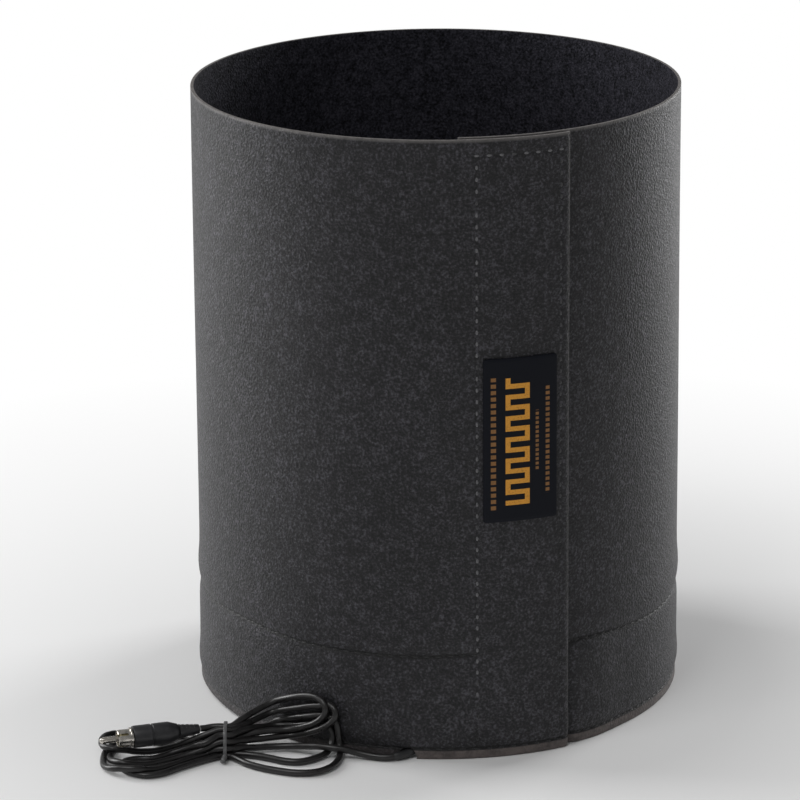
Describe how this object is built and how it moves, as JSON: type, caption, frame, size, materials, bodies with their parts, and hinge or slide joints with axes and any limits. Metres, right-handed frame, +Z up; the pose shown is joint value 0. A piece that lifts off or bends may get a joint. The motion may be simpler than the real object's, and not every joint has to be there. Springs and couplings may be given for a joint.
{
  "type": "heated dew shield",
  "caption": "Black rolled plastic dew shield for a telescope tube, with a hook and loop closure, a heater sewn inside the base, and a hanked cord that ends in a phono plug.",
  "frame": {"origin": "on the tube's axis, at the height of the sheet's bottom edge, where it stands on the floor", "axes": "+Z is up along the tube, -Y is the front where the flap and patch are, +X is to the right seen from the front"},
  "size_m": [0.2799, 0.2646, 0.3],
  "materials": {
    "pebbled_sheet": "fine pebbled grain, matte",
    "hook_tape": "woven tape with hooks",
    "loop_tape": "brushed loops",
    "sewing_thread": "grey lockstitch",
    "pocket_cloth": "black felted cloth",
    "heater_film": "insulated film ribbon",
    "printed_patch": "dark blue patch with printed pattern",
    "heat_shrink": "satin heat-shrunk sleeve",
    "cord_jacket": "satin soft jacket",
    "tie_plastic": "plastic coated wire",
    "plug_plastic": "satin moulded plastic",
    "nickel_plate": "bright nickel plate",
    "plug_insulation": "moulded plastic"
  },
  "bodies": {
    "root": {"shield_sheet": "pebbled_sheet", "hook_strip": "hook_tape", "loop_strip": "loop_tape", "hook_stitching": "sewing_thread", "loop_stitching": "sewing_thread", "heater_cover": "pocket_cloth", "heater_ribbon": "heater_film", "upper_seam": "sewing_thread", "lower_seam": "sewing_thread", "lower_seam_end": "sewing_thread", "flap_patch": "printed_patch", "exit_sleeve": "heat_shrink", "cord_lead": "cord_jacket", "cord_hank": "cord_jacket", "hank_tie": "tie_plastic", "plug_relief": "plug_plastic", "plug_barrel": "plug_plastic", "plug_shell": "nickel_plate", "plug_insulator": "plug_insulation", "plug_pin": "nickel_plate"}
  },
  "joints": []
}
